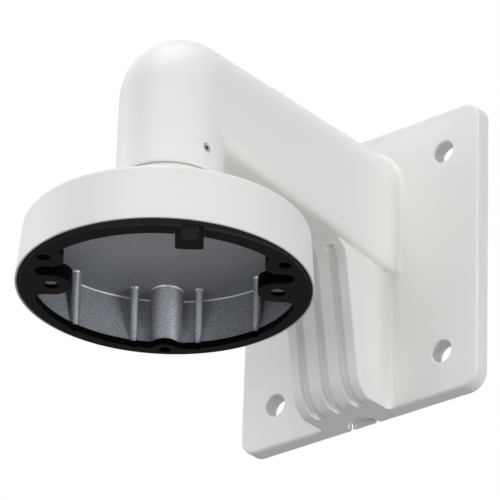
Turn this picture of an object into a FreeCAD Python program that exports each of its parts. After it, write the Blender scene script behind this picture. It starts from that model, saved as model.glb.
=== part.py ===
# Wall bracket for a small dome camera: a cast arm with its wall plate, a cast
# pendant cap screwed up into the arm's collar, a moulded ring in the cap's mouth
# and the grub screw that locks the cap.
# Millimetres. Y = 0 is the wall, the arm reaches along -Y, Z is up, and the
# origin is the middle of the plate's back face.
import FreeCAD, Part
import math
import os

V = FreeCAD.Vector
AXIS_X = V(1, 0, 0)
AXIS_Y = V(0, 1, 0)
AXIS_Z = V(0, 0, 1)
SIDES = (-1, 1)
near = 1e-4

# Wall plate
plate_width = 126.0
plate_height = 133.5
plate_thickness = 7.0
plate_corner_r = 8.0
plate_edge_r = 1.2
hole_spacing_x = 89.0
hole_spacing_z = 94.5
hole_d = 10.0
hole_rim = 0.4

# Arm: round on top, flat at the sides, with an underside that falls to the wall
reach = 130.5
arm_half_width = 22.0
arm_axis_z = 36.0
arm_wall = 4.0
bend_r = 6.5
underside_front_z = 8.8
underside_wall_z = -4.2
plate_root_r = 2.2

# Collar that takes the cap
collar_r = 22.0
collar_bottom_z = -9.5
collar_bore_r = 18.0
collar_lip_r = 0.6

# Gusset under the arm, with its grooves
gusset_half_width = 17.5
gusset_foot_depth = 26.5
gusset_lean_deg = 10.2
gusset_foot_r = 12.0
gusset_foot_sink = 0.9
gusset_top_r = 8.5
gusset_wall = 4.5
gusset_edge_r = 0.8
slab_margin = 0.4
groove_count = 3
groove_pitch = 10.5
groove_width = 4.6
groove_depth = 2.0
groove_foot_r = 17.0
groove_top_r = 6.0
groove_round = 1.1

# Half-round cable knock-out in the plate's bottom edge
knockout_r = 7.8
knockout_rise = 2.4
knockout_round = 0.8
knockout_lip = 1.0
knockout_nick_r = 1.1

# Pendant cap
cap_turn_deg = 40.5
cap_drop = 46.1
cap_mouth_r = 60.0
cap_top_r = 58.0
cap_height = 24.4
cap_wall = 3.0
cap_roof = 2.4
cap_inner_draft_deg = 4.5
cap_top_edge_r = 1.6
neck_r = 21.2
seam_gap = 0.6
spigot_clearance = 0.1
spigot_length = 15.0
spigot_wall = 2.5
spigot_tip = 1.0
neck_root_r = 3.0
cable_hole_r = 4.5
cable_hole_v = -10.7

# Ribs, round boss and screw towers inside the cap: each leans back to the wall
rib_foot_clear = 0.5
rib_half_width = 1.7
mid_rib_u = 13.3
mid_rib_top_v = 41.0
mid_rib_foot_v = 54.5
side_rib_u = 37.1
side_rib_top_v = 28.6
side_rib_foot_v = 41.1
boss_half_width = 6.8
boss_top_v = 39.0
boss_foot_v = 51.6
tower_top_u = 38.0
tower_foot_u = 40.0
tower_near_v = -35.0
tower_far_v = 10.0
tower_corner_r = 3.0
tapped_hole_r = 1.7
tapped_hole_depth = 12.0

# Moulded ring in the mouth of the cap: it stands a little proud of the mouth
ring_proud = 1.0
ring_thickness = 3.0
ring_gap_depth = 0.5
ring_flange = 1.5
ring_lip = 0.8
ring_clearance = 0.1
ring_face_r = 58.0
ring_near_face_r = 65.0
ring_near_face_v = -54.3
ring_far_r = 53.3
ring_near_r = 57.5
ring_near_v = -48.5
band_top_v = -31.0
ear_r = 8.2
ear_height = 6.5
low_ear_inner_u = 39.8
low_ear_near_v = -34.0
slot_width = 7.8
far_lug_v = 54.6
far_lug_r = 5.6
far_hole_v = 53.8
far_hole_r = 2.4
side_hole_u = 45.3
side_hole_v = -1.0
side_hole_r = 3.1
side_web = 1.0
peg_r = 4.4
peg_clearance = 0.2
low_hole_u = 47.6
low_hole_v = -24.7
low_hole_r = 2.6
slot_end_r = 3.6
ear_root_r = 4.0
low_ear_r = 5.5
lug_root_r = 3.0
notch_width = 2.4
notch_depth = 0.9
side_notch = ((38.6, -32.6), (41.8, -30.6), (39.8, -27.9), (38.6, -27.9))

# Snap catch with its pointed tongue on the near side of the ring
catch_u = 9.7
catch_width = 11.2
catch_near_v = -53.6
catch_inner_v = -31.0
catch_face = 1.5
catch_height = 9.0
catch_round = 1.5
tongue_u = 10.2
tongue_width = 6.8
tongue_shoulder_v = -45.1
tongue_tip_v = -42.2
tongue_drop = 0.3

# Grub screw in the collar
grub_turn_deg = -5.8
grub_rise = 10.0
grub_r = 2.0
grub_recess = 0.7
grub_clearance = 0.05
grub_sink = 0.6
grub_socket_flats = 2.0
grub_socket_depth = 1.8
grub_chamfer = 0.4

# Worked-out places
plate_front_y = -plate_thickness
plate_bottom_z = -plate_height / 2
bend_y = bend_r - reach
bend_z = arm_axis_z - bend_r
spigot_r = collar_bore_r - spigot_clearance
spigot_bore_r = spigot_r - spigot_wall
neck_top = cap_drop - seam_gap
spigot_top = cap_drop + spigot_length
ceiling_z = cap_height - cap_roof
ring_top_z = ring_thickness - ring_proud
rib_foot_z = ring_top_z + rib_foot_clear
tower_foot_z = ear_height - ring_proud + rib_foot_clear
slot_far_v = side_hole_v - ear_r
slot_near_v = slot_far_v - slot_width
ring_seat_r = cap_mouth_r - ring_lip
beyond = 200.0
plan_reach = 0.5


def face_of(corners):
    """A flat face from its corner points."""
    return Part.Face(Part.makePolygon(corners + corners[:1]))


def turned(corners):
    """A full turn of a profile given as pairs of radius and height."""
    points = [V(radius, 0, height) for radius, height in corners]
    return face_of(points).revolve(V(0, 0, 0), AXIS_Z, 360)


def filleted(shape, radius, wanted):
    """Round every edge that a test picks out."""
    edges = [edge for edge in shape.Edges if wanted(edge)]
    return shape.makeFillet(radius, edges)


def is_along(edge, axis):
    """True for a straight edge that runs along an axis."""
    if not isinstance(edge.Curve, Part.Line):
        return False
    return abs(abs(edge.Curve.Direction.dot(axis)) - 1) < near


def is_at_y(edge, y):
    """True for an edge that lies at one distance from the wall."""
    box = edge.BoundBox
    return abs(box.YMin - y) < near and abs(box.YMax - y) < near


def is_level(edge, z):
    """True for an edge that lies at one height."""
    box = edge.BoundBox
    return abs(box.ZMin - z) < near and abs(box.ZMax - z) < near


def is_circle(edge, radius, z):
    """True for a round edge of one radius at one height."""
    return is_level(edge, z) and isinstance(edge.Curve, Part.Circle) and abs(edge.Curve.Radius - radius) < near


def is_upright_at(edge, x, y):
    """True for an upright edge that stands at a place of the plan."""
    if not is_along(edge, AXIS_Z):
        return False
    point = edge.Vertexes[0].Point
    return math.hypot(point.x - x, point.y - y) < plan_reach


# The bracket casting

def underside_slope():
    """Fall of the arm's underside, in z per y."""
    return (underside_wall_z - underside_front_z) / (reach - plate_thickness)


def underside_z(y):
    """Height of the arm's underside at one distance from the wall."""
    return underside_front_z + underside_slope() * (y + reach)


def arch_face(half_width, y, base_z):
    """Section of the arm: flat sides up to the axis, round above it."""
    left = V(-half_width, y, base_z)
    right = V(half_width, y, base_z)
    left_top = V(-half_width, y, arm_axis_z)
    right_top = V(half_width, y, arm_axis_z)
    crown = V(0, y, arm_axis_z + half_width)
    edges = [Part.makeLine(left, left_top),
             Part.Arc(left_top, crown, right_top).toShape(),
             Part.makeLine(right_top, right),
             Part.makeLine(right, left)]
    return Part.Face(Part.Wire(edges))


def elbow(half_width):
    """The quarter turn that carries the arm's round top down into the collar."""
    return arch_face(half_width, bend_y, bend_z).revolve(V(0, bend_y, bend_z), AXIS_X, 90)


def arm_run(half_width, wall, back_y):
    """The straight arm behind its elbow, for the skin or for the hollow."""
    section = arch_face(half_width, -reach, -beyond).extrude(V(0, back_y + reach, 0))
    side = face_of([V(-beyond, -reach, underside_z(-reach) + wall),
                    V(-beyond, -reach, bend_z),
                    V(-beyond, bend_y, bend_z),
                    V(-beyond, bend_y, beyond),
                    V(-beyond, back_y, beyond),
                    V(-beyond, back_y, underside_z(back_y) + wall)])
    return section.common(side.extrude(V(2 * beyond, 0, 0))).removeSplitter()


def neck_and_arm():
    """Arm, elbow and collar as one solid."""
    collar = Part.makeCylinder(collar_r, bend_z - collar_bottom_z, V(0, -reach, collar_bottom_z))
    return arm_run(arm_half_width, 0, plate_front_y).fuse([elbow(arm_half_width), collar]).removeSplitter()


def tangent_arc(before, corner, after, radius):
    """Arc that rounds a corner of a side view: its start, the arc and its end."""
    to_before = (before - corner).normalize()
    to_after = (after - corner).normalize()
    half = to_before.getAngle(to_after) / 2
    start = corner + to_before * (radius / math.tan(half))
    end = corner + to_after * (radius / math.tan(half))
    bisector = (to_before + to_after).normalize()
    middle = corner + bisector * (radius / math.sin(half) - radius)
    return start, Part.Arc(start, middle, end).toShape(), end


def gusset_corners(inset, roof_inset, bottom_z):
    """Front, knee and foot of the gusset's side view, moved into the metal."""
    lean = math.radians(gusset_lean_deg)
    foot_y = -gusset_foot_depth + inset / math.cos(lean) - (bottom_z - plate_bottom_z) * math.tan(lean)
    foot = V(0, foot_y, bottom_z)
    front_y = collar_r - reach
    front = V(0, front_y, underside_z(front_y) + roof_inset)
    rise = front.z - bottom_z + underside_slope() * (foot_y - front_y)
    rise = rise / (1 + underside_slope() * math.tan(lean))
    knee = V(0, foot_y - rise * math.tan(lean), bottom_z + rise)
    return front, knee, foot


def gusset_view(inset, radii, back_y, bottom_z, half_width):
    """Gusset solid: top and foot rounding by a pair of radii, any inset."""
    front, knee, foot = gusset_corners(inset, inset, bottom_z)
    back_low = V(0, back_y, bottom_z)
    back_high = V(0, back_y, underside_z(back_y) + inset + arm_wall)
    front_high = front + V(0, 0, arm_wall)
    top_start, top_arc, top_end = tangent_arc(front, knee, foot, radii[0])
    low_start, low_arc, low_end = tangent_arc(knee, foot, back_low, radii[1])
    edges = [Part.makeLine(front, top_start), top_arc,
             Part.makeLine(top_end, low_start), low_arc,
             Part.makeLine(low_end, back_low), Part.makeLine(back_low, back_high),
             Part.makeLine(back_high, front_high), Part.makeLine(front_high, front)]
    side = Part.Face(Part.Wire(edges))
    side.translate(V(-half_width, 0, 0))
    return side.extrude(V(2 * half_width, 0, 0))


def is_gusset_front_edge(edge):
    """True for the leaning straight edges at the gusset's two sides."""
    box = edge.BoundBox
    side = abs(abs(box.XMin) - gusset_half_width) < near and box.XLength < near
    leaning = box.YLength > 1 and box.ZLength > gusset_foot_r
    return side and leaning and isinstance(edge.Curve, Part.Line)


def gusset():
    """The gusset's solid outline on a root slab, cut off flush with the plate."""
    sunk_z = plate_bottom_z - gusset_foot_sink
    radii = (gusset_top_r, gusset_foot_r)
    solid = gusset_view(0, radii, plate_front_y, sunk_z, gusset_half_width)
    slab_half = gusset_half_width + plate_root_r + slab_margin
    slab = Part.makeBox(2 * slab_half, plate_thickness, underside_front_z - sunk_z,
                        V(-slab_half, plate_front_y, sunk_z))
    solid = filleted(solid.fuse(slab).removeSplitter(), plate_root_r, is_gusset_foot)
    floor = Part.makeBox(beyond, beyond, beyond, V(-beyond / 2, -beyond / 2, plate_bottom_z))
    solid = filleted(solid.common(floor), gusset_edge_r, is_gusset_front_edge)
    grooves = [groove_tool((index - (groove_count - 1) / 2) * groove_pitch) for index in range(groove_count)]
    return solid.cut(grooves)


def groove_tool(x):
    """One groove, dying out under the arm and on the rounding at the foot."""
    sunk_z = plate_bottom_z - gusset_foot_sink
    front, knee, foot = gusset_corners(groove_depth, 0, sunk_z)
    top_start, top_arc, top_end = tangent_arc(front, knee, foot, groove_top_r)
    low_start, low_arc, low_end = tangent_arc(knee, foot, V(0, plate_front_y, sunk_z), groove_foot_r)
    below = V(0, low_end.y, sunk_z - groove_depth)
    ahead = V(0, top_start.y, below.z)
    edges = [top_arc, Part.makeLine(top_end, low_start), low_arc,
             Part.makeLine(low_end, below), Part.makeLine(below, ahead),
             Part.makeLine(ahead, top_start)]
    side = Part.Face(Part.Wire(edges))
    side.translate(V(x - groove_width / 2, 0, 0))
    tool = side.extrude(V(groove_width, 0, 0))
    return filleted(tool, groove_round, is_groove_bottom)


def is_groove_bottom(edge):
    """True for the long straight edges at the bottom of a groove's tool."""
    box = edge.BoundBox
    leaning = box.YLength > near and box.ZLength > gusset_foot_r
    return box.XLength < near and leaning and isinstance(edge.Curve, Part.Line)


def plate():
    """The wall plate with round corners and a soft front edge."""
    corner = V(-plate_width / 2, -plate_thickness, plate_bottom_z)
    blank = Part.makeBox(plate_width, plate_thickness, plate_height, corner)
    blank = filleted(blank, plate_corner_r, lambda edge: is_along(edge, AXIS_Y))
    return filleted(blank, plate_edge_r, lambda edge: is_at_y(edge, plate_front_y))


def is_arm_foot(edge):
    """True for the edges where the arm meets the plate's front."""
    box = edge.BoundBox
    inside = max(-box.XMin, box.XMax) < arm_half_width + near
    return is_at_y(edge, plate_front_y) and inside and box.ZMax > underside_wall_z


def is_gusset_foot(edge):
    """True for the two upright edges where the gusset meets the plate."""
    box = edge.BoundBox
    side = abs(abs(box.XMin) - gusset_half_width) < near and box.XLength < near
    return is_at_y(edge, plate_front_y) and side and box.ZLength > gusset_foot_r


def cableway():
    """The hollow for the cable, open at the wall and in the collar."""
    inner = arm_half_width - arm_wall
    bore = Part.makeCylinder(collar_bore_r, bend_z - collar_bottom_z, V(0, -reach, collar_bottom_z))
    radii = (gusset_top_r, groove_foot_r)
    pocket = gusset_view(gusset_wall, radii, 0, plate_bottom_z + gusset_wall, gusset_half_width - gusset_wall)
    return arm_run(inner, arm_wall, 0).fuse([elbow(inner), bore, pocket])


def plate_holes():
    """Four clearance holes for the wall screws, with a broken front edge."""
    holes = []
    for side in SIDES:
        for level in SIDES:
            place = V(side * hole_spacing_x / 2, plate_front_y, level * hole_spacing_z / 2)
            holes.append(Part.makeCylinder(hole_d / 2, plate_thickness, place, AXIS_Y))
            holes.append(Part.makeCone(hole_d / 2 + hole_rim, hole_d / 2, hole_rim, place, AXIS_Y))
    return holes


def knockout():
    """A half-round thin place for a cable, with a lip at the wall that is nicked at both ends."""
    recess = Part.makeCylinder(knockout_r, knockout_rise, V(0, 0, plate_bottom_z))
    top_z = plate_bottom_z + knockout_rise
    recess = filleted(recess, knockout_round, lambda edge: is_circle(edge, knockout_r, top_z))
    front = Part.makeBox(beyond, beyond, beyond, V(-beyond / 2, -beyond - knockout_lip, -beyond / 2))
    tools = [recess.common(front)]
    for side in SIDES:
        place = V(side * (knockout_r - knockout_nick_r), 0, plate_bottom_z)
        tools.append(Part.makeCylinder(knockout_nick_r, gusset_wall, place))
    return tools


def grub_way():
    """Where the grub screw's line leaves the cap's axis, and which way it goes."""
    turn = math.radians(grub_turn_deg)
    return V(0, -reach, collar_bottom_z + grub_rise), V(math.cos(turn), math.sin(turn), 0)


def grub_hole():
    """Tapped hole through the collar's wall, with a countersunk mouth."""
    start, way = grub_way()
    radius = grub_r + grub_clearance
    sink = Part.makeCone(radius, radius + 2 * grub_sink, 2 * grub_sink, start + way * (collar_r - grub_sink), way)
    return [Part.makeCylinder(radius, collar_r + grub_sink, start, way), sink]


def wall_bracket():
    """Plate, gusset, arm, elbow and collar: one casting."""
    casting = neck_and_arm().fuse(plate()).removeSplitter()
    casting = filleted(casting, plate_root_r, is_arm_foot)
    casting = casting.fuse(gusset()).removeSplitter()
    casting = casting.cut([cableway()] + plate_holes() + knockout() + grub_hole())
    return filleted(casting, collar_lip_r, lambda edge: is_circle(edge, collar_r, collar_bottom_z))


# The pendant cap, drawn in its own plan: u to the right, v to the far side

def cap_inner_radius(z):
    """Radius of the cap's inner wall at one height above the mouth."""
    return cap_mouth_r - cap_wall - z * math.tan(math.radians(cap_inner_draft_deg))


def cap_outside():
    """Skirt, roof, neck and spigot as one turned solid."""
    solid = turned([(0, 0), (cap_mouth_r, 0), (cap_top_r, cap_height),
                    (neck_r, cap_height), (neck_r, neck_top),
                    (spigot_r, neck_top), (spigot_r, spigot_top), (0, spigot_top)])
    solid = filleted(solid, neck_root_r, lambda edge: is_circle(edge, neck_r, cap_height))
    solid = filleted(solid, spigot_tip, lambda edge: is_circle(edge, spigot_r, spigot_top))
    return filleted(solid, cap_top_edge_r, lambda edge: is_circle(edge, cap_top_r, cap_height))


def cap_inside():
    """The room inside the cap, with the rebate that seats the ring."""
    seat = cap_inner_radius(ring_flange)
    top = cap_inner_radius(ceiling_z)
    return turned([(0, -ring_proud), (ring_seat_r, -ring_proud), (ring_seat_r, ring_flange),
                   (seat, ring_flange), (top, ceiling_z), (0, ceiling_z)])


def tongue_wire(tip, half_width, corner_r, z):
    """Outline of a rib in plan: two flanks from beyond the wall to a round tip."""
    left = V(-half_width, beyond, z)
    right = V(half_width, beyond, z)
    corner_left = V(-half_width, tip, z)
    corner_right = V(half_width, tip, z)
    middle = V(0, tip, z)
    first = tangent_arc(left, corner_left, middle, corner_r)
    second = tangent_arc(middle, corner_right, right, corner_r)
    edges = [Part.makeLine(left, first[0]), first[1]]
    if half_width - corner_r > near:
        edges.append(Part.makeLine(first[2], second[0]))
    edges += [second[1], Part.makeLine(second[2], right), Part.makeLine(right, left)]
    return Part.Wire(edges)


def leaning_rib(tips, half_width, corner_r, foot_z):
    """A rib whose tip leans from the ceiling back to the wall at its foot."""
    top = tongue_wire(tips[0], half_width, corner_r, cap_height)
    foot = tongue_wire(tips[1], half_width, corner_r, foot_z)
    return Part.makeLoft([foot, top], True, True)


def cap_ribs():
    """Ribs, far boss, side towers and pegs, not yet trimmed to the skirt."""
    ribs = [leaning_rib((boss_top_v, boss_foot_v), boss_half_width, boss_half_width, rib_foot_z)]
    tower_half = (tower_far_v - tower_near_v) / 2
    for side in SIDES:
        mid_rib = leaning_rib((mid_rib_top_v, mid_rib_foot_v), rib_half_width, rib_half_width, rib_foot_z)
        mid_rib.translate(V(side * mid_rib_u, 0, 0))
        side_rib = leaning_rib((side_rib_top_v, side_rib_foot_v), rib_half_width, rib_half_width, rib_foot_z)
        side_rib.translate(V(side * side_rib_u, 0, 0))
        tower = leaning_rib((tower_top_u, tower_foot_u), tower_half, tower_corner_r, tower_foot_z)
        tower.rotate(V(0, 0, 0), AXIS_Z, -90 * side)
        tower.translate(V(0, (tower_far_v + tower_near_v) / 2, 0))
        peg_z = side_web - ring_proud
        peg = Part.makeCylinder(peg_r, cap_height - peg_z, V(side * side_hole_u, side_hole_v, peg_z))
        ribs += [mid_rib, side_rib, tower, peg]
    return ribs


def ring_screw_places():
    """Plan places of the screws that hold the ring, each with its hole's radius."""
    return [(0, far_hole_v, far_hole_r)] + [(side * low_hole_u, low_hole_v, low_hole_r) for side in SIDES]


def placed_cap(shape):
    """Turn a shape from the cap's own plan to its place under the collar."""
    shape.rotate(V(0, 0, 0), AXIS_Z, cap_turn_deg)
    shape.translate(V(0, -reach, collar_bottom_z - cap_drop))
    return shape


def pendant_cap():
    """The cap: skirt and roof with ribs inside, neck and spigot on top."""
    body = cap_outside().cut(cap_inside())
    skirt = Part.makeCone(cap_mouth_r, cap_top_r, cap_height)
    inset = skirt.makeOffsetShape(-cap_wall / 2, near)
    trimmed = Part.Compound(cap_ribs()).common(inset)
    body = body.fuse(trimmed.Solids).removeSplitter()
    bore = Part.makeCylinder(spigot_bore_r, spigot_top, V(0, 0, cap_height))
    cable_hole = Part.makeCylinder(cable_hole_r, cap_height, V(0, cable_hole_v, ceiling_z - cap_roof))
    tapped = [Part.makeCylinder(tapped_hole_r, tapped_hole_depth, V(u, v, rib_foot_z))
              for u, v, hole_r in ring_screw_places()]
    return placed_cap(body.cut([bore, cable_hole] + tapped))


# The ring in the cap's mouth

def ring_disc(radius, low_z, high_z, v=0):
    """Upright cylinder in the ring's plan, between two heights."""
    return Part.makeCylinder(radius, high_z - low_z, V(0, v, low_z))


def side_block(side, inner_u, near_v, far_v):
    """Tall block of the plan that reaches out to one side."""
    low_u = inner_u if side > 0 else -beyond
    return Part.makeBox(beyond - inner_u, far_v - near_v, 2 * beyond, V(low_u, near_v, -beyond))


def ring_outline():
    """Face, flange and body of the ring, one above the other, with no opening."""
    near_shift = ring_near_face_v + ring_near_face_r
    face = ring_disc(ring_face_r, -ring_proud, ring_gap_depth)
    face = face.common(ring_disc(ring_near_face_r, -ring_proud, ring_gap_depth, near_shift))
    flange = ring_disc(ring_seat_r - ring_clearance, ring_gap_depth, ring_flange)
    body = ring_disc(cap_inner_radius(ring_top_z) - ring_clearance, ring_flange, ring_top_z)
    return face.fuse([flange, body]).removeSplitter()


def ring_opening():
    """What is left open inside the ring: two arcs, less the ears and the far lug."""
    near_half = Part.makeBox(2 * beyond, beyond, 2 * beyond, V(-beyond, band_top_v - beyond, -beyond))
    far_arc = ring_disc(ring_far_r, -beyond, beyond).cut(near_half)
    near_arc = ring_disc(ring_near_r, -beyond, beyond, ring_near_v + ring_near_r).common(near_half)
    ears = [ring_disc(far_lug_r, -beyond, beyond, far_lug_v)]
    for side in SIDES:
        ears.append(Part.makeCylinder(ear_r, 2 * beyond, V(side * side_hole_u, side_hole_v, -beyond)))
        ears.append(side_block(side, side_hole_u, slot_far_v, side_hole_v + ear_r))
        ears.append(side_block(side, low_ear_inner_u, low_ear_near_v, slot_near_v))
    return far_arc.fuse(near_arc).cut(ears).removeSplitter()


def ring_roundings():
    """Plan place and radius of each rounded upright corner of the ring."""
    ear_far_v = side_hole_v + ear_r
    lug_v = (ring_far_r ** 2 + far_lug_v ** 2 - far_lug_r ** 2) / (2 * far_lug_v)
    corners = []
    for side in SIDES:
        corners += [(side * arc_u(ear_far_v), ear_far_v, ear_root_r),
                    (side * arc_u(slot_far_v), slot_far_v, slot_end_r),
                    (side * arc_u(slot_near_v), slot_near_v, slot_end_r),
                    (side * low_ear_inner_u, slot_near_v, low_ear_r),
                    (side * arc_u(lug_v), lug_v, lug_root_r)]
    return corners


def arc_u(v):
    """How far out the ring's far arc is at one place along the plan."""
    return math.sqrt(ring_far_r ** 2 - v ** 2)


def mounting_ring():
    """Moulded ring with ears, slots, notches and snap catch."""
    ring = ring_outline().cut(ring_opening())
    for u, v, radius in ring_roundings():
        ring = filleted(ring, radius, lambda edge: is_upright_at(edge, u, v))
    lobes = [Part.makeCylinder(ear_r, ear_height, V(side * side_hole_u, side_hole_v, -ring_proud)) for side in SIDES]
    ring = ring.fuse(lobes).removeSplitter()
    ring = ring.cut(ring_holes() + rib_notches() + side_notches() + [catch_recess()])
    ring = ring.fuse([catch_block(), tongue()]).removeSplitter()
    return placed_cap(ring)


def ring_holes():
    """Screw holes of the ring, and the holes for the pegs in its side ears."""
    depth = ring_thickness + ear_height
    holes = [Part.makeCylinder(radius, depth, V(u, v, -ring_proud)) for u, v, radius in ring_screw_places()]
    for side in SIDES:
        place = V(side * side_hole_u, side_hole_v, -ring_proud)
        holes.append(Part.makeCylinder(side_hole_r, depth, place))
        holes.append(Part.makeCylinder(peg_r + peg_clearance, depth, place + V(0, 0, side_web)))
    return holes


def rib_notches():
    """Small notches in the ring's inner edge, one below each of the cap's ribs."""
    notches = []
    for u in (mid_rib_u, side_rib_u):
        for side in SIDES:
            notch = Part.makeBox(notch_width, 2 * notch_depth, ring_thickness,
                                 V(-notch_width / 2, -notch_depth, -ring_proud))
            notch.rotate(V(0, 0, 0), AXIS_Z, -side * math.degrees(math.atan2(u, arc_u(u))))
            notch.translate(V(side * u, arc_u(u), 0))
            notches.append(notch)
    return notches


def side_notches():
    """Three-cornered notch between the near band and each low ear."""
    notches = []
    for side in SIDES:
        corners = [V(side * u, v, -ring_proud) for u, v in side_notch]
        notches.append(face_of(corners).extrude(V(0, 0, ring_thickness)))
    return notches


def catch_recess():
    """Pocket in the ring's face in front of the catch."""
    low = V(catch_u - catch_width / 2, catch_near_v, -ring_proud)
    return Part.makeBox(catch_width, catch_inner_v - catch_near_v, ring_proud + catch_face, low)


def catch_block():
    """The snap catch that stands up from the pocket's floor."""
    low = V(catch_u - catch_width / 2, catch_near_v, catch_face)
    block = Part.makeBox(catch_width, catch_inner_v - catch_near_v, catch_height - catch_face, low)
    return filleted(block, catch_round, is_catch_corner)


def is_catch_corner(edge):
    """True for the catch's upright corners inside the ring."""
    return is_along(edge, AXIS_Z) and abs(edge.Vertexes[0].Point.y - catch_inner_v) < near


def tongue():
    """Pointed tongue that stands on the catch in its pocket."""
    half = tongue_width / 2
    face_z = tongue_drop - ring_proud
    corners = [V(tongue_u - half, catch_near_v, face_z),
               V(tongue_u + half, catch_near_v, face_z),
               V(tongue_u + half, tongue_shoulder_v, face_z),
               V(tongue_u, tongue_tip_v, face_z),
               V(tongue_u - half, tongue_shoulder_v, face_z)]
    return face_of(corners).extrude(V(0, 0, catch_face - face_z))


# The grub screw

def collar_grub_screw():
    """Headless screw with a hex socket, its tip against the cap's spigot."""
    start, way = grub_way()
    length = collar_r - grub_recess - spigot_r
    body = Part.makeCylinder(grub_r, length)
    body = body.makeChamfer(grub_chamfer, [edge for edge in body.Edges if isinstance(edge.Curve, Part.Circle)])
    across_corners = grub_socket_flats / math.cos(math.pi / 6)
    hexagon = [V(across_corners / 2 * math.cos(math.radians(60 * index)),
                 across_corners / 2 * math.sin(math.radians(60 * index)), length) for index in range(6)]
    socket = face_of(hexagon).extrude(V(0, 0, -grub_socket_depth))
    screw = body.cut(socket)
    screw.rotate(V(0, 0, 0), AXIS_Y, 90)
    screw.rotate(V(0, 0, 0), AXIS_Z, grub_turn_deg)
    screw.translate(start + way * spigot_r)
    return screw


shapes = {"wall_bracket": wall_bracket,
          "pendant_cap": pendant_cap,
          "mounting_ring": mounting_ring,
          "collar_grub_screw": collar_grub_screw}

os.makedirs("parts", exist_ok=True)
for name, make in shapes.items():
    shape = make()
    print(name, shape.isValid(), len(shape.Solids), round(shape.Volume / 1000, 2), "cm3")
    shape.exportStep(f"parts/{name}.step")
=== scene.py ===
# %% [markdown]
# # A cast wall bracket for a dome camera
# The bracket hangs on a wall and holds a small dome camera by a round cap. Its four
# pieces come in as a fixed frame of solids. This lesson rounds the arm's lower
# edges, gives each piece the finish of the real one, and puts a studio around them.

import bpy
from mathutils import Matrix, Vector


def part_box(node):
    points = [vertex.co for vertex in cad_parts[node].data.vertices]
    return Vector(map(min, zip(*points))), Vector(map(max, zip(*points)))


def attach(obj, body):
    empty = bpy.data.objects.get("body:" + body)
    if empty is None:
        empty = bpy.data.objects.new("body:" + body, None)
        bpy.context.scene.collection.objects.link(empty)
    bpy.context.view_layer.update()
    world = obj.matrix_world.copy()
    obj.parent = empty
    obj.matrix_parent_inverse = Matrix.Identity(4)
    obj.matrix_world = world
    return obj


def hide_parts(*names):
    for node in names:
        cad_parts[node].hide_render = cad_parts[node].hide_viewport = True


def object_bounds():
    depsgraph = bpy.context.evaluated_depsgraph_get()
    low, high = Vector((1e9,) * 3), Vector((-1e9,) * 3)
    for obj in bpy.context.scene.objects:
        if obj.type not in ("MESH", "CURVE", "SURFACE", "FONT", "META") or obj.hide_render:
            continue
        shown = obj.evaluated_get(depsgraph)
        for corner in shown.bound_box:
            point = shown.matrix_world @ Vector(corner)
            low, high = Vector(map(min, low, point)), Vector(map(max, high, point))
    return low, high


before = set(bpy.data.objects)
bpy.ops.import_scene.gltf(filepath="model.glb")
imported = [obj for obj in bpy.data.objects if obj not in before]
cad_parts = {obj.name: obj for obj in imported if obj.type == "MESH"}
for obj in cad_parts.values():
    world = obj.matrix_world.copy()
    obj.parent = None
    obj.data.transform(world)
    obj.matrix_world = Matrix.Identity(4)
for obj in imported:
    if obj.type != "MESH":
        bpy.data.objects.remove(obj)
cad_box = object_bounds()
print("nodes:", sorted(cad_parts))

# %% [markdown]
# Blender works in metres, while a maker thinks in millimetres, so one value turns
# the one into the other. The boxes of the cap, the ring and the grub screw say where
# they are, so none of those places is typed in again.

# %% Units and places
import math

import bpy
from mathutils import Matrix, Vector

MM = 0.001


def in_mm(place):
    """Coordinates in millimetres, rounded for printing."""
    return [round(value / MM, 1) for value in place]


def middle_of(corners):
    """Middle of a box, from its lowest and its highest corner."""
    low, high = corners
    return (Vector(low) + Vector(high)) / 2


bracket_middle = middle_of(cad_box)
screw_middle = middle_of(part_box("collar_grub_screw"))
cap_middle = middle_of(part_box("pendant_cap"))
mouth_middle = Vector((cap_middle.x, cap_middle.y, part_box("pendant_cap")[0].z))
ring_middle = Vector((cap_middle.x, cap_middle.y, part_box("mounting_ring")[0].z))
print("middle of the cap's mouth:", in_mm(mouth_middle), "mm")

# %% [markdown]
# On the real bracket the arm's two lower edges are rounded, by about six
# millimetres at the collar and two at the wall, and the collar grows out of that
# rounding. A bevel has one width and stops where an edge meets a curved face. So the
# edge is shaped on a copy of the casting: the two faces beside it are cut into
# strips, and the strips' corners are moved onto an arc whose radius changes along
# the arm. The CAD casting stays as it is, and its copy stands for it. A CAD mesh is
# loose triangles, so the copy is merged first.

# %% A merged copy of the casting
SAME_POINT = 0.001 * MM


def edit_faces(piece):
    """Edit mode on the faces of one piece, with no other piece selected."""
    bpy.ops.object.select_all(action="DESELECT")
    piece.select_set(True)
    bpy.context.view_layer.objects.active = piece
    bpy.ops.object.mode_set(mode="EDIT")
    bpy.ops.mesh.select_mode(type="FACE")


bracket_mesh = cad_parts["wall_bracket"].data.copy()
casting = bpy.data.objects.new("soft_edged_casting", bracket_mesh)
bpy.context.scene.collection.objects.link(casting)
edit_faces(casting)
bpy.ops.mesh.select_all(action="SELECT")
bpy.ops.mesh.remove_doubles(threshold=SAME_POINT)
bpy.ops.mesh.customdata_custom_splitnormals_clear()
print("merged casting:", len(casting.data.polygons), "faces")

# %% [markdown]
# The arm's side is flat and upright, and its underside falls towards the wall. Both
# flare out into the plate on a small round. These functions give the sharp corner
# between them at any distance from the wall, the radius wanted there, and how far
# the arc may go before the collar's round wall hides it.

# %% The corner to be rounded
ARM_HALF_WIDTH = 22.0 * MM
COLLAR_Y = -130.5 * MM
PLATE_FRONT = -7.0 * MM
UNDERSIDE_AT_COLLAR = 8.8 * MM
UNDERSIDE_AT_PLATE = -4.2 * MM
ROOT_RADIUS = 2.2 * MM
ROUND_AT_COLLAR = 6.5 * MM
ROUND_AT_PLATE = 2.0 * MM


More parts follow.
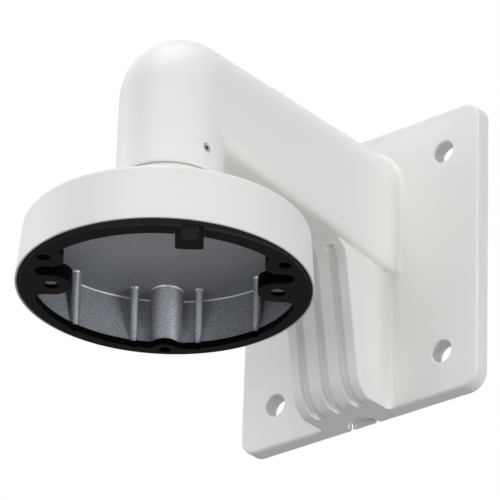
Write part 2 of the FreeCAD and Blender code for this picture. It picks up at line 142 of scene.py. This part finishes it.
def between(at_collar, at_plate, y):
    """A value that changes evenly from the collar's axis to the plate's front."""
    share = (y - COLLAR_Y) / (PLATE_FRONT - COLLAR_Y)
    return at_collar + (at_plate - at_collar) * share


def flare(y):
    """How far the round at the plate stands out from the arm."""
    into_root = y - (PLATE_FRONT - ROOT_RADIUS)
    if into_root <= 0:
        return 0
    return ROOT_RADIUS - math.sqrt(max(ROOT_RADIUS ** 2 - into_root ** 2, 0))


def corner(y):
    """Half width and height of the sharp corner."""
    height = between(UNDERSIDE_AT_COLLAR, UNDERSIDE_AT_PLATE, y)
    return ARM_HALF_WIDTH + flare(y), height - flare(y)


def round_radius(y):
    """Radius of the rounding."""
    return between(ROUND_AT_COLLAR, ROUND_AT_PLATE, y)


def free_of_collar(y):
    """Distance from the corner to the collar's wall, as far as the rounding reaches."""
    behind = max(y - COLLAR_Y, 0)
    if behind >= ARM_HALF_WIDTH:
        return round_radius(y)
    collar_wall = math.sqrt(ARM_HALF_WIDTH ** 2 - behind ** 2)
    return min(ARM_HALF_WIDTH - collar_wall, round_radius(y))


print("corner at the collar:", in_mm(corner(COLLAR_Y)), "mm")

# %% [markdown]
# Faces have no names in a mesh. A face is told by its place: it lies on the side
# where all its corners have the arm's half width, and on the underside where all
# have the underside's height. Only a band beside the edge needs the fine cuts.

# %% Tell the faces by their place
TOUCH = 0.02 * MM
STRIP_EDGES = [edge * MM for edge in (0.5, 1.1, 1.8, 2.6, 3.5, 4.5, 5.5, 6.5, 8.0)]
BAND = STRIP_EDGES[-1]


def on_arm(point):
    """True for a point between the collar's axis and the plate's front."""
    return COLLAR_Y - TOUCH < point.y < PLATE_FRONT + TOUCH


def on_side(point):
    """True for a point on the arm's side or its flare."""
    return on_arm(point) and abs(abs(point.x) - corner(point.y)[0]) < TOUCH


def on_underside(point):
    """True for a point on the sloping underside or its flare."""
    return on_arm(point) and abs(point.z - corner(point.y)[1]) < TOUCH


def flat_side(point):
    """True for a point of the side that the flare hasn't reached."""
    return on_side(point) and flare(point.y) == 0


def flat_underside(point):
    """True for a point of the underside that the flare hasn't reached."""
    return on_underside(point) and flare(point.y) == 0


def low_side(point):
    """True for a point of the side in the band above the edge."""
    return flat_side(point) and point.z < corner(point.y)[1] + BAND + TOUCH


def outer_underside(point):
    """True for a point of the underside in the band beside the edge."""
    return flat_underside(point) and abs(point.x) > ARM_HALF_WIDTH - BAND - TOUCH


print("band beside the edge:", round(BAND / MM, 1), "mm")

# %% [markdown]
# The knife and the loop cut need a window, but bisect cuts the selected faces with a
# plane and needs none. Each flat face is cleaned of its triangles and cut along the
# arm into strips. Then the band is cut across at stations, a millimetre apart at the
# collar, where the shape turns fast, and four apart beyond it.

# %% Cut the side and the underside into strips
import bmesh

FLAT_ANGLE = math.radians(0.5)
STATIONS = [step * MM for step in (*range(1, 16), *range(18, 120, 4))]


def pick_faces(piece, test):
    """Select the faces whose corners all pass a test."""
    shape = bmesh.from_edit_mesh(piece.data)
    for face in shape.faces:
        face.select_set(all(test(vert.co) for vert in face.verts))
    bmesh.update_edit_mesh(piece.data)


def cut(piece, test, through, normal):
    """Cut the faces that pass a test with one plane."""
    pick_faces(piece, test)
    bpy.ops.mesh.bisect(plane_co=through, plane_no=normal)


for test in (flat_side, flat_underside):
    pick_faces(casting, test)
    bpy.ops.mesh.dissolve_limited(angle_limit=FLAT_ANGLE)

along = Vector((0, PLATE_FRONT - COLLAR_Y, UNDERSIDE_AT_PLATE - UNDERSIDE_AT_COLLAR))
from_underside = along.cross(Vector((1, 0, 0)))
for edge in STRIP_EDGES:
    cut(casting, flat_side, (0, COLLAR_Y, UNDERSIDE_AT_COLLAR + edge), from_underside)
    for side in (-1, 1):
        cut(casting, flat_underside, (side * (ARM_HALF_WIDTH - edge), 0, 0), (1, 0, 0))
for station in STATIONS:
    for test in (low_side, outer_underside):
        cut(casting, test, (0, COLLAR_Y + station, 0), (0, 1, 0))
print("cut casting:", len(bmesh.from_edit_mesh(casting.data).faces), "faces")

# %% [markdown]
# Now each point goes to its place on the arc. The angle runs from nothing, where the
# arc leaves the side, to a right angle, where it meets the underside, and the sharp
# edge itself goes to its middle. Beside the collar the round wall hides part of the
# arc, and there the angle stops at that wall.

# %% Move the points onto the arc
def rounded(point):
    """Place on the arc of a point of the side or the underside, or None beyond it."""
    if not (on_side(point) or on_underside(point)):
        return None
    edge_x, edge_z = corner(point.y)
    radius = round_radius(point.y)
    free = free_of_collar(point.y)
    last_angle = math.acos(1 - free / radius)
    edge_angle = min(math.pi / 4, last_angle)
    up = point.z - edge_z
    inward = edge_x - abs(point.x)
    if on_side(point) and -TOUCH < up < radius:
        angle = edge_angle * (1 - max(up, 0) / radius)
    elif on_underside(point) and inward < free + TOUCH:
        share = min(inward / max(free, TOUCH), 1)
        angle = edge_angle + (last_angle - edge_angle) * share
    else:
        return None
    half_width = edge_x - radius + radius * math.cos(angle)
    height = edge_z + radius - radius * math.sin(angle)
    return Vector((math.copysign(half_width, point.x), point.y, height))


shape = bmesh.from_edit_mesh(casting.data)
moved = 0
for vert in shape.verts:
    target = rounded(vert.co)
    if target:
        vert.co = target
        moved += 1
bmesh.update_edit_mesh(casting.data)
bpy.ops.mesh.select_all(action="SELECT")
bpy.ops.mesh.remove_doubles(threshold=SAME_POINT)
bpy.ops.mesh.quads_convert_to_tris(quad_method="BEAUTY", ngon_method="BEAUTY")
bpy.ops.object.mode_set(mode="OBJECT")
print("points moved:", moved, "faces now:", len(casting.data.polygons))

# %% [markdown]
# A casting looks smooth all round, while the edges of its holes stay crisp. So faces
# that meet at a small angle are shaded as one. Normals weighted by the faces' area
# keep the thin new strips from bending the light on the wide flat side. The copy
# hangs on the root body, and the casting is hidden, so that the copy stands for it.

# %% Shading and place of the copy
SMOOTH_BELOW = math.radians(30)
BY_AREA = 100

bpy.ops.object.shade_smooth_by_angle(angle=SMOOTH_BELOW)
weigh = casting.modifiers.new("weigh_by_area", "WEIGHTED_NORMAL")
weigh.keep_sharp = True
weigh.weight = BY_AREA
bpy.ops.object.modifier_apply(modifier=weigh.name)
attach(casting, "root")
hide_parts("wall_bracket")
print("soft-edged casting:", in_mm(casting.dimensions), "mm")

# %% [markdown]
# A finish is built from nodes. One small function adds a node, sets its values and
# joins its inputs. Colours are written as a painter reads them, in sRGB hex, and one
# function turns them into the linear values that a shader mixes.

# %% Helpers for materials
def linear(hex_code):
    """Linear RGBA of an sRGB hex colour."""
    channels = [int(hex_code[place:place + 2], 16) / 255 for place in (1, 3, 5)]
    return [value / 12.92 if value <= 0.04045 else ((value + 0.055) / 1.055) ** 2.4
            for value in channels] + [1]


def add_node(tree, kind, settings=None, links=None):
    """A new node of one kind, with its settings and its incoming links."""
    node = tree.nodes.new(kind)
    for name, value in (settings or {}).items():
        if isinstance(name, str) and hasattr(node, name):
            setattr(node, name, value)
        else:
            node.inputs[name].default_value = value
    for name, socket in (links or {}).items():
        tree.links.new(socket, node.inputs[name])
    return node


def new_material(name):
    """An empty node material with its tree and its output."""
    material = bpy.data.materials.new(name)
    material.use_nodes = True
    tree = material.node_tree
    tree.nodes.clear()
    return material, tree, tree.nodes.new("ShaderNodeOutputMaterial")


def give(material, *pieces):
    """Put one material on whole pieces."""
    for piece in pieces:
        piece.data.materials.clear()
        piece.data.materials.append(material)


print("sRGB mid grey in linear light:", round(linear("#808080")[0], 3))

# %% [markdown]
# The bracket is die-cast aluminium with a baked polyester powder coat. The powder
# melts into a film that shines softly, hides the metal and leaves a faint orange
# peel about a millimetre wide. It also rounds off each corner. A bevel on the mesh
# would show that too, but the CAD mesh is kept as it is, so the Bevel node bends the
# light there instead. Round the grub screw's small hole that rounding would be wider
# than the hole's rim, so it is finer there.

# %% White powder coat
COAT_COLOUR = "#E9E9E7"
PEEL_GRAIN = 1.4 * MM
PEEL_HEIGHT = 0.02 * MM
COAT_EDGE = 0.6 * MM
HOLE_EDGE = 0.15 * MM
HOLE_EDGE_WITHIN = 3.0 * MM
COAT_EDGE_BEYOND = 5.0 * MM
EDGE_RAYS = 6


def edge_radius(tree, place):
    """Socket of the coat's edge radius, fine at the grub screw and full elsewhere."""
    to_screw = add_node(tree, "ShaderNodeVectorMath",
                        {"operation": "DISTANCE", 1: screw_middle},
                        {0: place.outputs["Object"]})
    radius = add_node(tree, "ShaderNodeMapRange",
                      {"From Min": HOLE_EDGE_WITHIN, "From Max": COAT_EDGE_BEYOND,
                       "To Min": HOLE_EDGE, "To Max": COAT_EDGE},
                      {"Value": to_screw.outputs["Value"]})
    return radius.outputs["Result"]


def coat_shader(tree):
    """Powder-coated surface with soft edges."""
    place = add_node(tree, "ShaderNodeTexCoord")
    peel = add_node(tree, "ShaderNodeTexNoise", {"Scale": 1 / PEEL_GRAIN, "Detail": 2.0},
                    {"Vector": place.outputs["Object"]})
    soft_edge = add_node(tree, "ShaderNodeBevel", {"samples": EDGE_RAYS},
                         {"Radius": edge_radius(tree, place)})
    bump = add_node(tree, "ShaderNodeBump", {"Strength": 0.5, "Distance": PEEL_HEIGHT},
                    {"Height": peel.outputs["Fac"], "Normal": soft_edge.outputs["Normal"]})
    return add_node(tree, "ShaderNodeBsdfPrincipled",
                    {"Base Color": linear(COAT_COLOUR), "Roughness": 0.42, "IOR": 1.5},
                    {"Normal": bump.outputs["Normal"]})


coat, tree, output = new_material("polyester_powder_coat_on_die_cast_aluminium")
tree.links.new(coat_shader(tree).outputs["BSDF"], output.inputs["Surface"])
give(coat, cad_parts["wall_bracket"], casting)
print("coat:", coat.name)

# %% [markdown]
# The cap has the same coat outside, but its inside was masked and stays bare: cast
# aluminium that was blasted with shot. Blasting leaves it grey, dull and speckled,
# so it is shaded half as metal. A photograph of blasted metal could be laid over it,
# but a noise worked out from each point's place has no seams, and the same noise
# makes both the speckle and a low bump. Real shot marks are a few tenths of a
# millimetre wide, too fine for this picture, so they are drawn at about half a
# millimetre.

# %% Shot-blasted metal
METAL_LIGHT = "#A8ABB1"
METAL_DARK = "#71757C"
# Painted highlight: the pale colour of the line where the wall meets the ceiling.
CREASE_HIGHLIGHT_COLOUR = "#FAFBFD"
SHOT_GRAIN = 0.55 * MM
SHOT_HEIGHT = 0.03 * MM
CREASE_RADIUS = 0.9 * MM


def blasted_shader(tree, crease_highlight):
    """Bare cast aluminium, speckled by blasting, with a painted highlight where the mask is 1."""
    place = add_node(tree, "ShaderNodeTexCoord")
    grain = add_node(tree, "ShaderNodeTexNoise",
                     {"Scale": 1 / SHOT_GRAIN, "Detail": 2.0, "Roughness": 0.6},
                     {"Vector": place.outputs["Object"]})
    tone = add_node(tree, "ShaderNodeMapRange", {"From Min": 0.3, "From Max": 0.7},
                    {"Value": grain.outputs["Fac"]})
    speckle = add_node(tree, "ShaderNodeMix",
                       {"data_type": "RGBA", 6: linear(METAL_DARK), 7: linear(METAL_LIGHT)},
                       {0: tone.outputs["Result"]})
    colour = add_node(tree, "ShaderNodeMix", {"data_type": "RGBA", 7: linear(CREASE_HIGHLIGHT_COLOUR)},
                      {0: crease_highlight, 6: speckle.outputs[2]})
    soft_edge = add_node(tree, "ShaderNodeBevel",
                         {"samples": EDGE_RAYS, "Radius": CREASE_RADIUS})
    bump = add_node(tree, "ShaderNodeBump", {"Strength": 0.6, "Distance": SHOT_HEIGHT},
                    {"Height": grain.outputs["Fac"], "Normal": soft_edge.outputs["Normal"]})
    return add_node(tree, "ShaderNodeBsdfPrincipled", {"Metallic": 0.5, "Roughness": 0.55},
                    {"Base Color": colour.outputs[2], "Normal": bump.outputs["Normal"]})


print("shot marks drawn at", round(SHOT_GRAIN / MM, 2), "mm")

# %% [markdown]
# One mesh has two finishes here. Faces could be given two materials, but the coat
# ends inside a face at the mouth. So the place of each point decides: a Mapping node
# moves the axis of the cap to zero and turns its plan, and the distance from that
# axis and the height above the mouth say what is bare. The wall leans in by its
# draft, which lets the casting leave its die. A pale line is painted where the wall
# meets the ceiling, a painted highlight for the light that the round there catches
# from below.

# %% Where the cap is bare
CAP_TURN = math.radians(40.5)
INNER_RADIUS = 57.0 * MM
WALL_DRAFT = math.tan(math.radians(4.5))
CEILING = 22.0 * MM
INTO_METAL = 0.4 * MM
CREASE_HIGHLIGHT_WIDTH = 0.7 * MM
LEANING = -0.5


def place_in_cap(tree, origin):
    """Socket of each point's place, measured from an origin on the cap's axis."""
    place = add_node(tree, "ShaderNodeTexCoord")
    turned = add_node(tree, "ShaderNodeMapping",
                      {"vector_type": "TEXTURE", "Location": origin,
                       "Rotation": (0, 0, CAP_TURN)},
                      {"Vector": place.outputs["Object"]})
    return turned.outputs["Vector"]


def faces_down(tree, limit):
    """Socket that is 1 where the surface's upward part is less than a limit."""
    surface = add_node(tree, "ShaderNodeNewGeometry")
    facing = add_node(tree, "ShaderNodeSeparateXYZ", None,
                      {"Vector": surface.outputs["True Normal"]})
    return add_node(tree, "ShaderNodeMath", {"operation": "LESS_THAN", 1: limit},
                    {0: facing.outputs["Z"]}).outputs["Value"]


def bare_inside(tree, place):
    """Socket that is 1 on the bare inside of the cap."""
    parts = add_node(tree, "ShaderNodeSeparateXYZ", None, {"Vector": place})
    level = add_node(tree, "ShaderNodeVectorMath", {"operation": "MULTIPLY", 1: (1, 1, 0)},
                     {0: place})
    radius = add_node(tree, "ShaderNodeVectorMath", {"operation": "LENGTH"},
                      {0: level.outputs["Vector"]})
    at_mouth = add_node(tree, "ShaderNodeMath", {"operation": "MULTIPLY_ADD", 1: WALL_DRAFT},
                        {0: parts.outputs["Z"], 2: radius.outputs["Value"]})
    within = add_node(tree, "ShaderNodeMath",
                      {"operation": "LESS_THAN", 1: INNER_RADIUS + INTO_METAL},
                      {0: at_mouth.outputs["Value"]})
    below = add_node(tree, "ShaderNodeMath",
                     {"operation": "LESS_THAN", 1: CEILING + INTO_METAL},
                     {0: parts.outputs["Z"]})
    return add_node(tree, "ShaderNodeMath", {"operation": "MULTIPLY"},
                    {0: within.outputs["Value"], 1: below.outputs["Value"]}).outputs["Value"]


def painted_crease_highlight(tree, place):
    """Socket that is 1 on the walls just under the ceiling, where a highlight is painted."""
    parts = add_node(tree, "ShaderNodeSeparateXYZ", None, {"Vector": place})
    near_top = add_node(tree, "ShaderNodeMapRange",
                        {"interpolation_type": "SMOOTHSTEP",
                         "From Min": CEILING - CREASE_HIGHLIGHT_WIDTH,
                         "From Max": CEILING - CREASE_HIGHLIGHT_WIDTH / 3},
                        {"Value": parts.outputs["Z"]})
    upright = add_node(tree, "ShaderNodeMath", {"operation": "SUBTRACT", 0: 1.0},
                       {1: faces_down(tree, LEANING)})
    return add_node(tree, "ShaderNodeMath", {"operation": "MULTIPLY"},
                    {0: near_top.outputs["Result"], 1: upright.outputs["Value"]}).outputs["Value"]


print("bare inside radius at the mouth:", round(INNER_RADIUS / MM, 1), "mm")

# %% [markdown]
# The ends of the two pegs and the two low screw towers were machined flat after the
# blasting, and they show as pale dots in the ring's holes. They are told by small
# circles in the cap's plan, mirrored to both sides, on faces that look down. In its
# hole a mirror would only reflect the black wall, so the fine turned face is painted
# near white and shaded matt: a painted reflection on the bare metal.

# %% Machined ends with a painted glint
# Painted reflection: the ends are near white and matt so that they read as a glint.
MACHINED_PAINTED_GLINT_COLOUR = "#FAFAFA"
MACHINED_GLINT_BELOW = 9.0 * MM
MACHINED_GLINT_CIRCLES = (((45.3 * MM, -1.0 * MM, 0), 4.7 * MM),
                    ((47.6 * MM, -24.7 * MM, 0), 4.0 * MM))
LEVEL = -0.9


def by_circles(tree, level, circles, side):
    """Socket that is 1 on one side of any of some circles: LESS_THAN is inside."""
    found = None
    for centre, radius in circles:
        away = add_node(tree, "ShaderNodeVectorMath", {"operation": "DISTANCE", 1: centre},
                        {0: level})
        mask = add_node(tree, "ShaderNodeMath", {"operation": side, 1: radius},
                        {0: away.outputs["Value"]})
        if found:
            mask = add_node(tree, "ShaderNodeMath", {"operation": "MAXIMUM"},
                            {0: found.outputs["Value"], 1: mask.outputs["Value"]})
        found = mask
    return found.outputs["Value"]


def machined_ends_painted_glint(tree, place):
    """Socket that is 1 on the machined ends of pegs and towers, where a glint is painted."""
    parts = add_node(tree, "ShaderNodeSeparateXYZ", None, {"Vector": place})
    either_side = add_node(tree, "ShaderNodeMath", {"operation": "ABSOLUTE"},
                           {0: parts.outputs["X"]})
    level = add_node(tree, "ShaderNodeCombineXYZ", None,
                     {"X": either_side.outputs["Value"], "Y": parts.outputs["Y"]})
    spots = by_circles(tree, level.outputs["Vector"], MACHINED_GLINT_CIRCLES, "LESS_THAN")
    low = add_node(tree, "ShaderNodeMath", {"operation": "LESS_THAN", 1: MACHINED_GLINT_BELOW},
                   {0: parts.outputs["Z"]})
    low_spots = add_node(tree, "ShaderNodeMath", {"operation": "MULTIPLY"},
                         {0: spots, 1: low.outputs["Value"]})
    return add_node(tree, "ShaderNodeMath", {"operation": "MULTIPLY"},
                    {0: low_spots.outputs["Value"], 1: faces_down(tree, LEVEL)}).outputs["Value"]


print("machined ends on each side:", len(MACHINED_GLINT_CIRCLES))

# %% [markdown]
# The cap's three finishes are joined by two Mix Shader nodes, because each one is a
# whole surface with its own roughness and bump, and not only a colour.

# %% Coat outside the cap, metal inside
cap_finish, tree, output = new_material("powder_coat_with_shot_blasted_inside")
place = place_in_cap(tree, mouth_middle)
# The metal gets a painted highlight along the line just under the ceiling.
blasted = blasted_shader(tree, painted_crease_highlight(tree, place))
# The near-white matt ends stand for a glint: a painted reflection.
machined_painted_glint = add_node(tree, "ShaderNodeBsdfPrincipled",
                    {"Base Color": linear(MACHINED_PAINTED_GLINT_COLOUR), "Roughness": 0.5})
metal = add_node(tree, "ShaderNodeMixShader", None,
                 {0: machined_ends_painted_glint(tree, place), 1: blasted.outputs["BSDF"],
                  2: machined_painted_glint.outputs["BSDF"]})
join = add_node(tree, "ShaderNodeMixShader", None,
                {0: bare_inside(tree, place), 1: coat_shader(tree).outputs["BSDF"],
                 2: metal.outputs["Shader"]})
tree.links.new(join.outputs["Shader"], output.inputs["Surface"])
give(cap_finish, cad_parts["pendant_cap"])
print("cap:", cap_finish.name)

# %% [markdown]
# The ring in the mouth of the cap is moulded in black ABS. Its tool was spark
# eroded, which leaves a fine even grain that scatters the light and keeps the black
# from looking wet. Light and shade are painted on it: the rim and the tongue are a
# little greyer, as painted highlights, and the walls and the catch are the deepest
# black, as painted shade. Each could be a piece of its own, but it is one moulding,
# so the place of each point in the cap's plan says which black it gets.

# %% Places on the ring
SURFACE = 0.05 * MM
RAISED = 0.25 * MM
RIM_CIRCLES = (((0, 0, 0), 57.2 * MM), ((0, 10.7 * MM, 0), 64.2 * MM))
CATCH_MIDDLE = (9.7 * MM, -42.0 * MM)
CATCH_REACH = (5.7 * MM, 12.0 * MM)
TONGUE_MIDDLE = (10.2 * MM, -48.0 * MM)
TONGUE_REACH = (3.4 * MM, 6.0 * MM)


def in_rectangle(tree, parts, middle, reach):
    """Socket that is 1 inside a rectangle in the ring's plan."""
    across, along = [add_node(tree, "ShaderNodeMath",
                              {"operation": "COMPARE", 1: middle[axis], 2: reach[axis]},
                              {0: parts.outputs["XY"[axis]]}) for axis in (0, 1)]
    return add_node(tree, "ShaderNodeMath", {"operation": "MULTIPLY"},
                    {0: across.outputs["Value"], 1: along.outputs["Value"]}).outputs["Value"]


def ring_masks(tree, place):
    """Sockets for painted shade on walls and catch, and painted highlights on rim and tongue."""
    parts = add_node(tree, "ShaderNodeSeparateXYZ", None, {"Vector": place})
    level = add_node(tree, "ShaderNodeCombineXYZ", None,
                     {"X": parts.outputs["X"], "Y": parts.outputs["Y"]})
    above = add_node(tree, "ShaderNodeMapRange", {"From Min": SURFACE, "From Max": RAISED},
                     {"Value": parts.outputs["Z"]})
    # The walls and the catch get painted shade, the rim and the tongue painted highlights.
    catch = in_rectangle(tree, parts, CATCH_MIDDLE, CATCH_REACH)
    wall_shade = add_node(tree, "ShaderNodeMath", {"operation": "MAXIMUM"},
                     {0: above.outputs["Result"], 1: catch})
    outer = by_circles(tree, level.outputs["Vector"], RIM_CIRCLES, "GREATER_THAN")
    rim_highlight = add_node(tree, "ShaderNodeMath", {"operation": "MULTIPLY"},
                   {0: above.outputs["Result"], 1: outer})
    tongue_highlight = in_rectangle(tree, parts, TONGUE_MIDDLE, TONGUE_REACH)
    return wall_shade.outputs["Value"], rim_highlight.outputs["Value"], tongue_highlight


print("catch at", in_mm(CATCH_MIDDLE), "mm in the cap's plan")

# %% [markdown]
# The masks lay the painted shade and the painted highlights over the face's black,
# from the face to the tongue. The spark grain is drawn at half a millimetre, coarser
# than the real one, so that it shows, and the reflection is set low, because the
# grain breaks it up.

# %% Black moulded ring
FACE_COLOUR = "#0B0A0A"
# The wall colour is painted shade; the rim and tongue colours are painted highlights.
WALL_SHADE_COLOUR = "#050505"
RIM_HIGHLIGHT_COLOUR = "#353534"
TONGUE_HIGHLIGHT_COLOUR = "#262625"
SPARK_GRAIN = 0.5 * MM
SPARK_HEIGHT = 0.015 * MM
RING_EDGE = 0.3 * MM

moulding, tree, output = new_material("black_abs_spark_grained_moulding")
wall_shade, rim_highlight, tongue_highlight = ring_masks(tree, place_in_cap(tree, ring_middle))
black = add_node(tree, "ShaderNodeMix",
                 {"data_type": "RGBA", 6: linear(FACE_COLOUR), 7: linear(WALL_SHADE_COLOUR)},
                 {0: wall_shade})
for mask, colour in ((rim_highlight, RIM_HIGHLIGHT_COLOUR), (tongue_highlight, TONGUE_HIGHLIGHT_COLOUR)):
    black = add_node(tree, "ShaderNodeMix", {"data_type": "RGBA", 7: linear(colour)},
                     {0: mask, 6: black.outputs[2]})
place = add_node(tree, "ShaderNodeTexCoord")
grain = add_node(tree, "ShaderNodeTexNoise", {"Scale": 1 / SPARK_GRAIN, "Detail": 2.0},
                 {"Vector": place.outputs["Object"]})
soft_edge = add_node(tree, "ShaderNodeBevel", {"samples": EDGE_RAYS, "Radius": RING_EDGE})
bump = add_node(tree, "ShaderNodeBump", {"Strength": 0.5, "Distance": SPARK_HEIGHT},
                {"Height": grain.outputs["Fac"], "Normal": soft_edge.outputs["Normal"]})
plastic = add_node(tree, "ShaderNodeBsdfPrincipled",
                   {"Roughness": 0.5, "Specular IOR Level": 0.03},
                   {"Base Color": black.outputs[2], "Normal": bump.outputs["Normal"]})
tree.links.new(plastic.outputs["BSDF"], output.inputs["Surface"])
give(moulding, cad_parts["mounting_ring"])
print("ring:", moulding.name)

# %% [markdown]
# The grub screw is turned stainless steel, four millimetres across. The tool leaves
# fine rings on its end, which spread the glint a little. Cutting them into the mesh
# would cost thousands of faces, so a wave of rings round the screw's middle bends
# the light. Real rings are a few hundredths of a millimetre apart, and these are
# drawn coarser.

# %% Stainless grub screw
STEEL_COLOUR = "#B9B9B8"
TURN_PITCH = 0.15 * MM
TURN_HEIGHT = 0.004 * MM
WAVES_PER_UNIT = 10 / math.pi

steel, tree, output = new_material("turned_stainless_steel")
place = add_node(tree, "ShaderNodeTexCoord")
from_middle = add_node(tree, "ShaderNodeVectorMath",
                       {"operation": "SUBTRACT", 1: screw_middle},
                       {0: place.outputs["Object"]})
turns = add_node(tree, "ShaderNodeTexWave",
                 {"wave_type": "RINGS", "rings_direction": "X",
                  "Scale": 1 / WAVES_PER_UNIT / TURN_PITCH},
                 {"Vector": from_middle.outputs["Vector"]})
bump = add_node(tree, "ShaderNodeBump", {"Strength": 0.5, "Distance": TURN_HEIGHT},
                {"Height": turns.outputs["Fac"]})
screw = add_node(tree, "ShaderNodeBsdfPrincipled",
                 {"Base Color": linear(STEEL_COLOUR), "Metallic": 1.0, "Roughness": 0.3},
                 {"Normal": bump.outputs["Normal"]})
tree.links.new(screw.outputs["BSDF"], output.inputs["Surface"])
give(steel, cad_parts["collar_grub_screw"])
print("screw:", steel.name)

# %% [markdown]
# The set is a pale paper floor, far enough below for the camera to look up at the
# bracket. A roll of paper that curves up behind would do as well, but a flat floor
# under a white world gives the same plain background with less. The floor sends soft
# light up under the arm. To the camera, and in reflections, it is paler than the
# light that it sends: Light Path tells the rays apart, and a small glow is added for
# those rays only. The bracket's shadow stays on the paper.

# %% Floor
FLOOR_Z = -1.05
FLOOR_SIZE = 12
FLOOR_COLOUR = "#F2F2F0"
FLOOR_BOUNCE = "#8C8C8B"
FLOOR_GLOW = 0.3


def seen_straight(tree):
    """Socket that is 1 for the camera's rays and those that metal or glass sends on."""
    ray = add_node(tree, "ShaderNodeLightPath")
    mirrored = add_node(tree, "ShaderNodeMath", {"operation": "MAXIMUM"},
                        {0: ray.outputs["Is Glossy Ray"], 1: ray.outputs["Is Transmission Ray"]})
    either = add_node(tree, "ShaderNodeMath", {"operation": "MAXIMUM"},
                      {0: mirrored.outputs["Value"], 1: ray.outputs["Is Camera Ray"]})
    return either.outputs["Value"]


bpy.ops.object.select_all(action="DESELECT")
bpy.ops.mesh.primitive_plane_add(size=FLOOR_SIZE, location=(0, 0, FLOOR_Z))
floor = bpy.context.object
floor.name = "floor"
paper, tree, output = new_material("matt_paper_floor")
seen = seen_straight(tree)
tint = add_node(tree, "ShaderNodeMix",
                {"data_type": "RGBA", 6: linear(FLOOR_BOUNCE), 7: linear(FLOOR_COLOUR)},
                {0: seen})
matt = add_node(tree, "ShaderNodeBsdfDiffuse", None, {"Color": tint.outputs[2]})
share = add_node(tree, "ShaderNodeMath", {"operation": "MULTIPLY", 1: FLOOR_GLOW}, {0: seen})
glow = add_node(tree, "ShaderNodeEmission", {"Color": linear("#FFFFFF")},
                {"Strength": share.outputs["Value"]})
lit = add_node(tree, "ShaderNodeAddShader", None,
               {0: matt.outputs["BSDF"], 1: glow.outputs["Emission"]})
tree.links.new(lit.outputs["Shader"], output.inputs["Surface"])
give(paper, floor)
print("floor at", FLOOR_Z, "m")

# %% [markdown]
# The world is the white backdrop. At a strength of one it is plain white to the
# camera and in reflections, while the light that it sends onto the bracket is a
# good deal less, so that the soft boxes can shape the white coat.

# %% World
AMBIENT = 0.29
BACKDROP = 1.0

world = bpy.data.worlds.new("studio")
bpy.context.scene.world = world
world.use_nodes = True
tree = world.node_tree
tree.nodes.clear()
strength = add_node(tree, "ShaderNodeMapRange", {"To Min": AMBIENT, "To Max": BACKDROP},
                    {"Value": seen_straight(tree)})
sky = add_node(tree, "ShaderNodeBackground", {"Color": linear("#FFFFFF")},
               {"Strength": strength.outputs["Result"]})
add_node(tree, "ShaderNodeOutputWorld", None, {"Surface": sky.outputs["Background"]})
print("light of the world:", AMBIENT, "of the backdrop")

# %% [markdown]
# Six soft boxes light the set, as large as the umbrellas of a real studio, so that
# the coat shows wide soft tones and no hard edge of light. One large lamp would be
# simpler, but it would leave the undersides black, and this camera looks up at
# them. So three stand high, in front, overhead and at the left, and three stand
# low, in front, at the right, and a small one beside the camera that reaches into
# the cap.

# %% Soft boxes
SOFT_BOXES = (  # name, place and width in metres, power in watts
    ("key_soft_box", (0.3, -1.5, 1.3), 1.4, 9.5),
    ("top_soft_box", (0.0, -0.5, 2.0), 1.4, 18.5),
    ("left_soft_box", (-1.8, -0.9, 0.3), 1.4, 12),
    ("low_front_soft_box", (0.3, -1.9, -0.5), 0.9, 6.3),
    ("low_side_soft_box", (1.9, 0.0, -0.75), 0.9, 20.8),
    ("camera_side_soft_box", (1.35, -1.55, -0.72), 0.5, 3),
)

for name, stand, width, power in SOFT_BOXES:
    lamp = bpy.data.lights.new(name, "AREA")
    lamp.size = width
    lamp.energy = power
    holder = bpy.data.objects.new(name, lamp)
    bpy.context.scene.collection.objects.link(holder)
    holder.location = stand
    aim = bracket_middle - Vector(stand)
    holder.rotation_euler = aim.to_track_quat("-Z", "Y").to_euler()
print("soft boxes:", len(SOFT_BOXES), "with", sum(power for *_, power in SOFT_BOXES), "W in all")

# %% [markdown]
# The camera stands low, in front and to the right, so that the cap's mouth shows. A
# near camera with a short lens could see the same side, but it would swell the cap
# and make upright edges run together. So it stands a long way off with a long lens.
# Its place follows from its bearing round the cap, its height angle and its
# distance, and it is rolled a little, as a camera held in the hand is.

# %% Camera
CAMERA_TURN = math.radians(40.56)
CAMERA_RISE = math.radians(-27.64)
CAMERA_ROLL = math.radians(-2.01)
CAMERA_DISTANCE = 1655.2 * MM
CAMERA_ASIDE = 34.10 * MM
CAMERA_DROP = -15.11 * MM
LENS = 298.5
SENSOR = 36
SEES_TO = 50

back = Vector((math.sin(CAMERA_TURN) * math.cos(CAMERA_RISE),
               -math.cos(CAMERA_TURN) * math.cos(CAMERA_RISE),
               math.sin(CAMERA_RISE)))
level_right = (-back).cross(Vector((0, 0, 1))).normalized()
level_down = (-back).cross(level_right)
right = math.cos(CAMERA_ROLL) * level_right + math.sin(CAMERA_ROLL) * level_down
down = -math.sin(CAMERA_ROLL) * level_right + math.cos(CAMERA_ROLL) * level_down
eye = mouth_middle + back * CAMERA_DISTANCE + right * CAMERA_ASIDE + down * CAMERA_DROP

lens = bpy.data.cameras.new("camera")
lens.lens = LENS
lens.sensor_width = SENSOR
lens.clip_end = SEES_TO
camera = bpy.data.objects.new("camera", lens)
bpy.context.scene.collection.objects.link(camera)
turned = Matrix((right, -down, back)).transposed().to_4x4()
camera.matrix_world = Matrix.Translation(eye) @ turned
bpy.context.scene.camera = camera
bpy.context.scene.view_settings.view_transform = "Standard"
print("camera at", [round(value, 3) for value in eye], "m")
